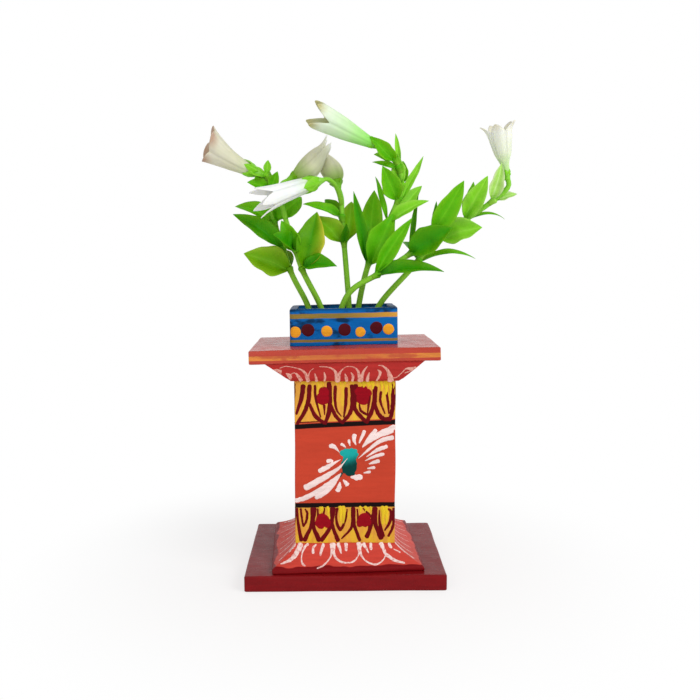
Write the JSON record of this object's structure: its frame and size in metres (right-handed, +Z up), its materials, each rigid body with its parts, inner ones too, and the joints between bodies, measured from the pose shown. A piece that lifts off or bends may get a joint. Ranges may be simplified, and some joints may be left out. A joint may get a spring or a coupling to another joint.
{
  "type": "tulsi vrindavan planter",
  "caption": "Small painted wooden tulsi stand: square base, flared plinth, column, flared capital and slab, with an open trough that holds a lift-out spray of plastic leaves and flowers.",
  "frame": {"origin": "middle of the base's underside, on the surface it stands on", "axes": "+Z up, -Y towards the front (the painted face with the long side of the trough), +X to the right seen from the front"},
  "size_m": [0.1261, 0.0636, 0.1836],
  "materials": {
    "maroon_paint": "hand-brushed enamel on softwood, satin",
    "coral_paint": "hand-brushed enamel on softwood, satin, with painted petals",
    "terracotta_paint": "hand-brushed enamel on softwood, satin, with painted bands",
    "salmon_paint": "hand-brushed enamel on softwood, satin",
    "blue_paint": "hand-brushed enamel on softwood, glossy, with painted dots",
    "nail_wire": "bright drawn wire",
    "foam": "dry floral foam",
    "stem_green": "moulded soft plastic, satin",
    "leaf_green": "moulded soft plastic, satin",
    "petal_white": "thin moulded soft plastic",
    "calyx_green": "moulded soft plastic, satin"
  },
  "bodies": {
    "stand": {"base_plate": "maroon_paint", "plinth": "coral_paint", "column": "terracotta_paint", "capital": "coral_paint", "top_slab": "salmon_paint", "trough": "blue_paint", "base_nails": "nail_wire", "top_nails": "nail_wire", "trough_brads": "nail_wire"},
    "plant": {"foam_block": "foam", "stem_1": "stem_green", "leaves_1": "leaf_green", "stem_2": "stem_green", "leaves_2": "leaf_green", "stem_3": "stem_green", "leaves_3": "leaf_green", "stem_4": "stem_green", "leaves_4": "leaf_green", "stem_5": "stem_green", "leaves_5": "leaf_green", "stem_6": "stem_green", "leaves_6": "leaf_green", "flower_1": "petal_white", "calyx_1": "calyx_green", "flower_2": "petal_white", "calyx_2": "calyx_green", "flower_3": "petal_white", "calyx_3": "calyx_green", "flower_4": "petal_white", "calyx_4": "calyx_green", "flower_6": "petal_white", "calyx_6": "calyx_green", "flower_front": "petal_white", "calyx_front": "calyx_green"}
  },
  "joints": [
    {"name": "plant_lift", "type": "slide", "parent": "stand", "child": "plant", "axis": [0, 0, 1], "range_m": [0, 0.02]}
  ]
}
